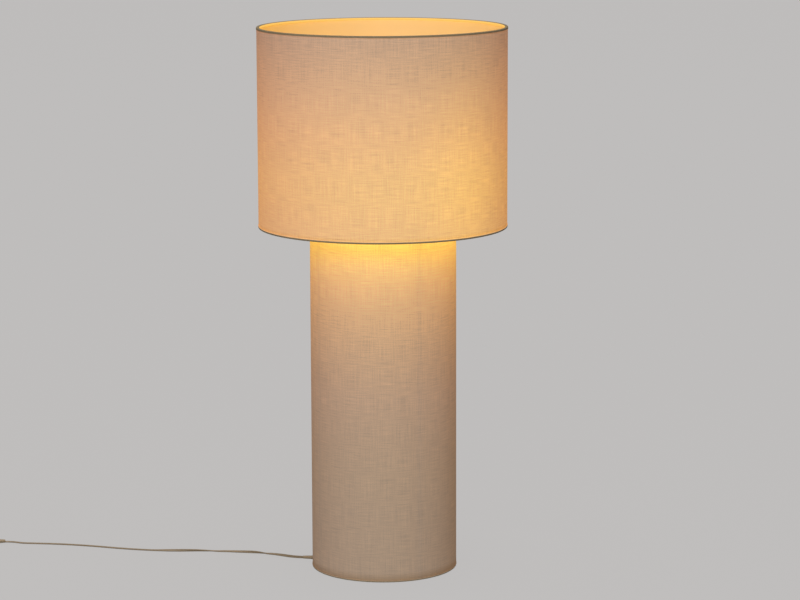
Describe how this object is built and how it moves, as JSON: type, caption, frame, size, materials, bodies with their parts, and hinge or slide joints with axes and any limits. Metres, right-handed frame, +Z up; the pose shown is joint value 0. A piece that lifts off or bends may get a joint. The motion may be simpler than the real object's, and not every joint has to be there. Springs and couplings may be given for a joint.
{
  "type": "floor lamp",
  "caption": "Floor lamp with a lit drum shade over a narrower fabric column, a weighted base plate, a flat lead with foot switch, and a plug.",
  "frame": {"origin": "on the floor, at the middle of the base, on the axis of column and shade", "axes": "+Z up along the axis of column and shade, -Y towards the viewer, +X to the viewer's right; the lead leaves towards -X"},
  "size_m": [1.211, 0.5, 1.1],
  "materials": {
    "woven_fabric": "plain woven polycotton, warm beige",
    "trim_cloth": "bias cloth rolled over the wire",
    "liner_sheet": "white laminating sheet, matt",
    "white_wire": "powder coated, satin",
    "black_rubber": "matt",
    "base_paint": "powder coated, fine texture",
    "cast_iron": "rough casting",
    "zinc_steel": "zinc plated",
    "white_moulding": "moulded, satin",
    "ceramic": "unglazed ceramic",
    "brass": "bare, lightly dulled",
    "cap_aluminium": "rolled thread",
    "black_glass": "fused black glass",
    "bulb_glass": "frosted",
    "mount_glass": "clear",
    "filament": "yellow phosphor coat",
    "lead_sheath": "flexible sheath, taupe",
    "core_sheath": "insulated core",
    "grommet_plastic": "soft moulding",
    "tie_plastic": "soft band",
    "switch_plastic": "moulded, satin",
    "contact_plastic": "moulded"
  },
  "bodies": {
    "lamp": {"column_fabric": "woven_fabric", "column_liner": "liner_sheet", "column_top_trim": "trim_cloth", "column_hem_trim": "trim_cloth", "column_top_ring": "white_wire", "column_bottom_ring": "white_wire", "column_uprights": "white_wire", "column_spider_arms": "white_wire", "column_spider_washer": "white_wire", "column_feet": "white_wire", "column_foot_screws": "zinc_steel", "foot_pads": "black_rubber", "base_plate": "base_paint", "base_weight": "cast_iron", "stem_flange": "base_paint", "base_bolts": "zinc_steel", "base_nuts": "zinc_steel", "stem_tube": "base_paint", "stem_cap": "zinc_steel", "threaded_nipple": "zinc_steel", "nipple_nut": "zinc_steel", "lampholder_cap": "white_moulding", "lampholder_skirt": "white_moulding", "lampholder_insert": "ceramic", "lampholder_contact": "brass", "lower_shade_ring": "white_moulding", "lead_grommet": "grommet_plastic", "inner_lead": "lead_sheath", "lead_cores": "core_sheath", "lead_clip": "grommet_plastic", "lead_clip_screws": "zinc_steel", "lead_to_switch": "lead_sheath", "foot_switch_base": "switch_plastic", "foot_switch_cover": "switch_plastic", "foot_switch_contacts": "contact_plastic", "foot_switch_spring": "zinc_steel", "foot_switch_screws": "zinc_steel", "foot_switch_reliefs": "grommet_plastic", "lead_to_coil": "lead_sheath", "lead_coil": "lead_sheath", "lead_tie": "tie_plastic", "lead_to_plug": "lead_sheath", "plug_body": "switch_plastic", "plug_pins": "brass"},
    "shade": {"shade_fabric": "woven_fabric", "shade_liner": "liner_sheet", "shade_top_trim": "trim_cloth", "shade_bottom_trim": "trim_cloth", "shade_top_ring": "white_wire", "shade_bottom_ring": "white_wire", "shade_fitter_ring": "white_wire", "shade_fitter_arms": "white_wire"},
    "shade_ring": {"upper_shade_ring": "white_moulding"},
    "bulb": {"bulb_cap": "cap_aluminium", "bulb_insulator": "black_glass", "bulb_contact": "brass", "bulb_glass": "bulb_glass", "bulb_mount": "mount_glass", "bulb_filaments": "filament"},
    "button": {"foot_switch_button": "switch_plastic"}
  },
  "joints": [
    {"name": "shade_turn", "type": "hinge", "parent": "lamp", "child": "shade", "pos_m": [0, 0, 0.70265], "axis": [0, 0, 1], "continuous": true},
    {"name": "shade_ring_unscrew", "type": "slide", "parent": "lamp", "child": "shade_ring", "axis": [0, 0, 1], "range_m": [0, 0.0186]},
    {"name": "bulb_unscrew", "type": "slide", "parent": "lamp", "child": "bulb", "axis": [0, 0, 1], "range_m": [0, 0.027]},
    {"name": "foot_switch_press", "type": "slide", "parent": "lamp", "child": "button", "axis": [0, 0, -1], "range_m": [0, 0.003], "stiffness_N_per_m": 1500, "springref_m": -0.001, "deforming": ["foot_switch_spring"]}
  ]
}
